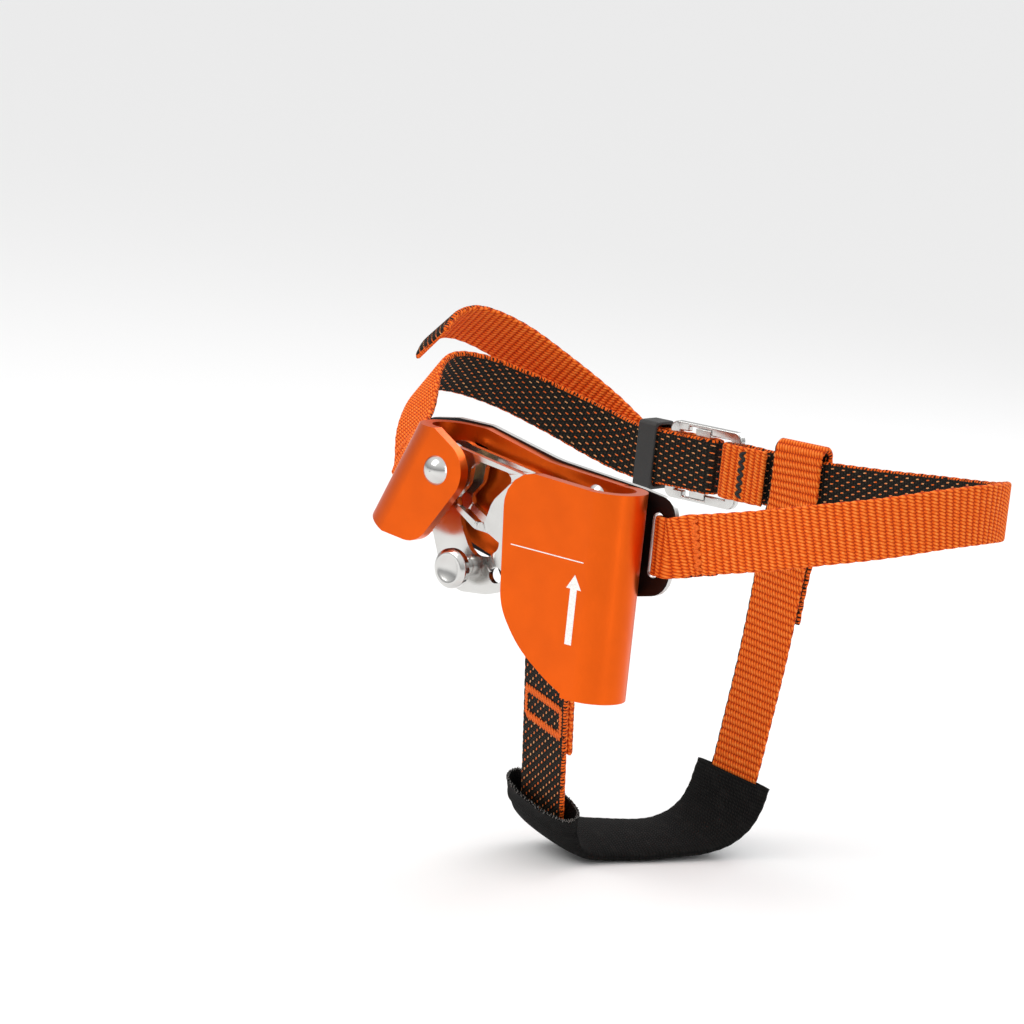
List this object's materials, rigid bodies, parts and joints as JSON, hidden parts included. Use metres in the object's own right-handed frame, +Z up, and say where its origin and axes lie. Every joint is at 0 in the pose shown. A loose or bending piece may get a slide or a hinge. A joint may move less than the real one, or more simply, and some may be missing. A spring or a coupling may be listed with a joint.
{
  "type": "foot ascender",
  "caption": "Strap-on foot ascender: folded aluminium rope channel with a toothed sprung cam, held on a boot by an ankle strap and a stirrup strap.",
  "frame": {"origin": "on the boot side of the strap plate, at mid height of the rope channel", "axes": "+Z up along the rope, +X towards the heel, +Y into the boot"},
  "size_m": [0.2137, 0.1243, 0.1655],
  "materials": {
    "orange_anodised": "satin anodised",
    "plate_steel": "dark satin with bright edges",
    "bright_steel": "polished stainless",
    "spring_steel": "drawn wire",
    "bush_bronze": "turned",
    "orange_webbing": "ribbed polyester webbing",
    "black_webbing": "black webbing with orange flecks",
    "sleeve_fabric": "woven tubular webbing",
    "keeper_rubber": "matt"
  },
  "bodies": {
    "base": {"frame": "orange_anodised", "strap_plate": "plate_steel", "plate_rivets": "bright_steel", "cam_axle": "bright_steel", "cam_bush": "bush_bronze", "cam_washer": "bright_steel", "cam_spring": "spring_steel", "heel_strap": "orange_webbing", "instep_strap": "orange_webbing", "stirrup_strap": "black_webbing", "wear_sleeve": "sleeve_fabric", "buckle_frame": "bright_steel", "tail_keeper": "keeper_rubber"},
    "cam": {"cam": "bright_steel", "lever_knob": "bright_steel"},
    "buckle_bar": {"buckle_bar": "bright_steel"}
  },
  "joints": [
    {"name": "cam_hinge", "type": "hinge", "parent": "base", "child": "cam", "pos_m": [-0.0297, -0.0125, 0.0264], "axis": [0, 1, 0], "range_deg": [0, 34], "stiffness_Nm_per_rad": 0.08, "springref_deg": -28.65},
    {"name": "buckle_slide", "type": "slide", "parent": "base", "child": "buckle_bar", "axis": [-1, 0, 0], "range_m": [0, 0.0025]}
  ]
}
